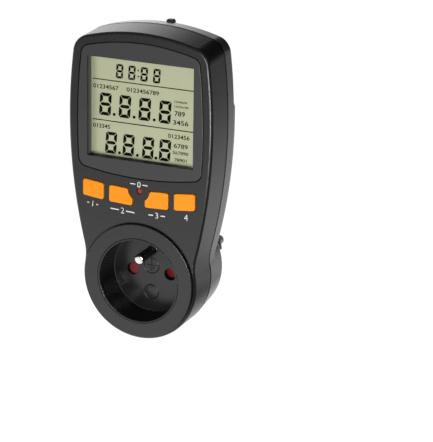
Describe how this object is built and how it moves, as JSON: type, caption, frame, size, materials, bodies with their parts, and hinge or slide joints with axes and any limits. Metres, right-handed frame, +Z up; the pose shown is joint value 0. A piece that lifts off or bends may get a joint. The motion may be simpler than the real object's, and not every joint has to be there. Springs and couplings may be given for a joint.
{
  "type": "plug-in energy meter",
  "caption": "Handheld-size plug-in energy meter with segment display, orange keys and a shuttered round outlet with earth pin.",
  "frame": {"origin": "where the plug's axis meets the wall, on the flat back of the round base", "axes": "+X right and +Z up seen from the front; the front faces -Y; the plug leaves the back along +Y"},
  "size_m": [0.0712, 0.072, 0.1453],
  "materials": {
    "blue_insulation": "satin",
    "brown_insulation": "satin",
    "capacitor_sleeve": "satin",
    "carrier_plastic": "matte",
    "case_plastic": "satin",
    "cell_steel": "bright",
    "chip_resin": "matte",
    "circuit_laminate": "satin",
    "contact_brass": "satin",
    "contact_rubber": "matte",
    "crystal_can": "satin",
    "film_capacitor_case": "satin",
    "frame_plastic": "matte",
    "header_metal": "bright",
    "key_plastic": "satin",
    "lcd_cell": "satin",
    "nickel_plate": "bright",
    "outlet_plastic": "glossy",
    "reset_plastic": "satin",
    "screw_steel": "zinc plated",
    "shunt_alloy": "satin",
    "shutter_plastic": "satin",
    "spring_steel": "drawn",
    "switch_plastic": "satin",
    "varistor_coating": "glossy",
    "window_acrylic": "clear"
  },
  "bodies": {
    "case": {"battery_plate": "nickel_plate", "battery_spring": "nickel_plate", "board_header": "header_metal", "button_cells": "cell_steel", "carrier_screws": "screw_steel", "case_screws": "screw_steel", "contact_carrier": "carrier_plastic", "contact_strips": "contact_rubber", "control_board": "circuit_laminate", "control_board_screws": "screw_steel", "crystal": "crystal_can", "display_bezel": "case_plastic", "display_controller": "chip_resin", "display_window": "window_acrylic", "dropper_capacitor": "film_capacitor_case", "earth_pin": "nickel_plate", "earth_sleeve": "contact_brass", "earth_strap": "nickel_plate", "filter_capacitor": "capacitor_sleeve", "front_shell": "case_plastic", "insert_screws": "screw_steel", "key_switches": "switch_plastic", "lcd_frame": "frame_plastic", "lcd_glass": "lcd_cell", "live_contact": "contact_brass", "live_in_lead": "brown_insulation", "live_out_lead": "brown_insulation", "live_pin": "nickel_plate", "metering_chip": "chip_resin", "neutral_contact": "contact_brass", "neutral_lead": "blue_insulation", "neutral_pin": "nickel_plate", "outlet_cup": "outlet_plastic", "plug_insert": "outlet_plastic", "power_board": "circuit_laminate", "power_board_screws": "screw_steel", "rear_shell": "case_plastic", "shunt_resistor": "shunt_alloy", "shutter_spring": "spring_steel", "varistor": "varistor_coating"},
    "set_key": {"key_set": "key_plastic", "set_plunger": "switch_plastic"},
    "energy_key": {"key_energy": "key_plastic", "energy_plunger": "switch_plastic"},
    "cost_key": {"key_cost": "key_plastic", "cost_plunger": "switch_plastic"},
    "up_key": {"key_up": "key_plastic", "up_plunger": "switch_plastic"},
    "reset_key": {"reset_button": "reset_plastic", "reset_plunger": "switch_plastic"},
    "shutter_rotor": {"shutter": "shutter_plastic"},
    "battery_door": {"battery_cover": "case_plastic"}
  },
  "joints": [
    {"name": "set_press", "type": "slide", "parent": "case", "child": "set_key", "axis": [0, 1, 0], "range_m": [0, 0.0008], "stiffness_N_per_m": 300, "springref_m": -0.001},
    {"name": "energy_press", "type": "slide", "parent": "case", "child": "energy_key", "axis": [0, 1, 0], "range_m": [0, 0.0008], "stiffness_N_per_m": 300, "springref_m": -0.001},
    {"name": "cost_press", "type": "slide", "parent": "case", "child": "cost_key", "axis": [0, 1, 0], "range_m": [0, 0.0008], "stiffness_N_per_m": 300, "springref_m": -0.001},
    {"name": "up_press", "type": "slide", "parent": "case", "child": "up_key", "axis": [0, 1, 0], "range_m": [0, 0.0008], "stiffness_N_per_m": 300, "springref_m": -0.001},
    {"name": "reset_press", "type": "slide", "parent": "case", "child": "reset_key", "axis": [0, 1, 0], "range_m": [0, 0.0005], "stiffness_N_per_m": 300, "springref_m": -0.001},
    {"name": "shutter_turn", "type": "hinge", "parent": "case", "child": "shutter_rotor", "pos_m": [0, -0.0185, 0], "axis": [0, -1, 0], "range_deg": [0, 38], "stiffness_Nm_per_rad": 0.002, "springref_deg": -20.05, "deforming": ["shutter_spring"]},
    {"name": "battery_door_swing", "type": "hinge", "parent": "case", "child": "battery_door", "pos_m": [0.0022, -0.009, 0.0964], "axis": [-1, 0, 0], "range_deg": [0, 50]}
  ]
}
